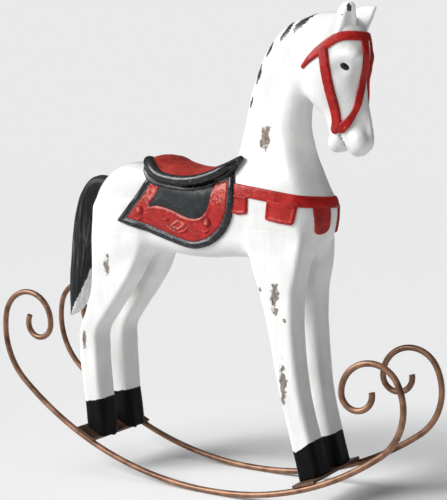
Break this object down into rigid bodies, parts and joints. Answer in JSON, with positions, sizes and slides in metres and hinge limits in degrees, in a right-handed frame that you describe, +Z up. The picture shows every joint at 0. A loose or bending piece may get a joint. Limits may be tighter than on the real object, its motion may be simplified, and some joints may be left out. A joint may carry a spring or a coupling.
{
  "type": "rocking horse",
  "caption": "Tabletop wooden rocking horse with a painted saddle and bridle, standing on curled copper-coloured wire rockers.",
  "frame": {"origin": "on the floor, midway between the two rockers, under the centre of their bottom arc", "axes": "+X towards the horse's nose, +Y towards its left side, +Z up"},
  "size_m": [0.3336, 0.071, 0.334],
  "materials": {
    "bare_wood": "unfinished beech pegs",
    "black_gloss": "wood painted semi-gloss black with rubbed edges",
    "black_paint": "wood painted satin black, with carved grooves",
    "copper_plate": "copper-coloured steel strip with black paint round the hooves",
    "copper_wire": "copper-coloured lacquered steel wire, brushed and darkened in places",
    "eye_black": "glossy black paint",
    "horse_white": "wood painted distressed white, worn through in patches",
    "leg_white": "wood painted distressed white, satin black hooves",
    "panel_black": "wood painted worn black",
    "saddle_red": "wood painted brushed semi-gloss red",
    "screw_steel": "zinc-plated steel, countersunk heads",
    "strap_red": "wood painted brushed semi-gloss red with dark lows"
  },
  "bodies": {
    "root": {"breast_collar": "strap_red", "bridle_cheek_strap_left": "strap_red", "bridle_cheek_strap_right": "strap_red", "bridle_face_strap_left": "strap_red", "bridle_face_strap_right": "strap_red", "bridle_headstall": "strap_red", "cloth_band": "saddle_red", "cloth_border": "black_gloss", "collar_tabs_left": "strap_red", "collar_tabs_right": "strap_red", "ear_left": "horse_white", "ear_right": "horse_white", "eye_left": "eye_black", "eye_right": "eye_black", "foot_plate_front": "copper_plate", "foot_plate_rear": "copper_plate", "fore_leg_left": "leg_white", "fore_leg_right": "leg_white", "hind_leg_left": "leg_white", "hind_leg_right": "leg_white", "hoof_screws_front": "screw_steel", "hoof_screws_rear": "screw_steel", "leg_dowels": "bare_wood", "neck_and_head": "horse_white", "neck_dowels": "bare_wood", "rocker_left": "copper_wire", "rocker_right": "copper_wire", "saddle_cloth": "panel_black", "saddle_diamonds": "saddle_red", "saddle_rim": "black_gloss", "saddle_seat": "saddle_red", "saddle_studs": "saddle_red", "tail": "black_paint", "tail_peg": "bare_wood", "torso": "horse_white"}
  },
  "joints": []
}
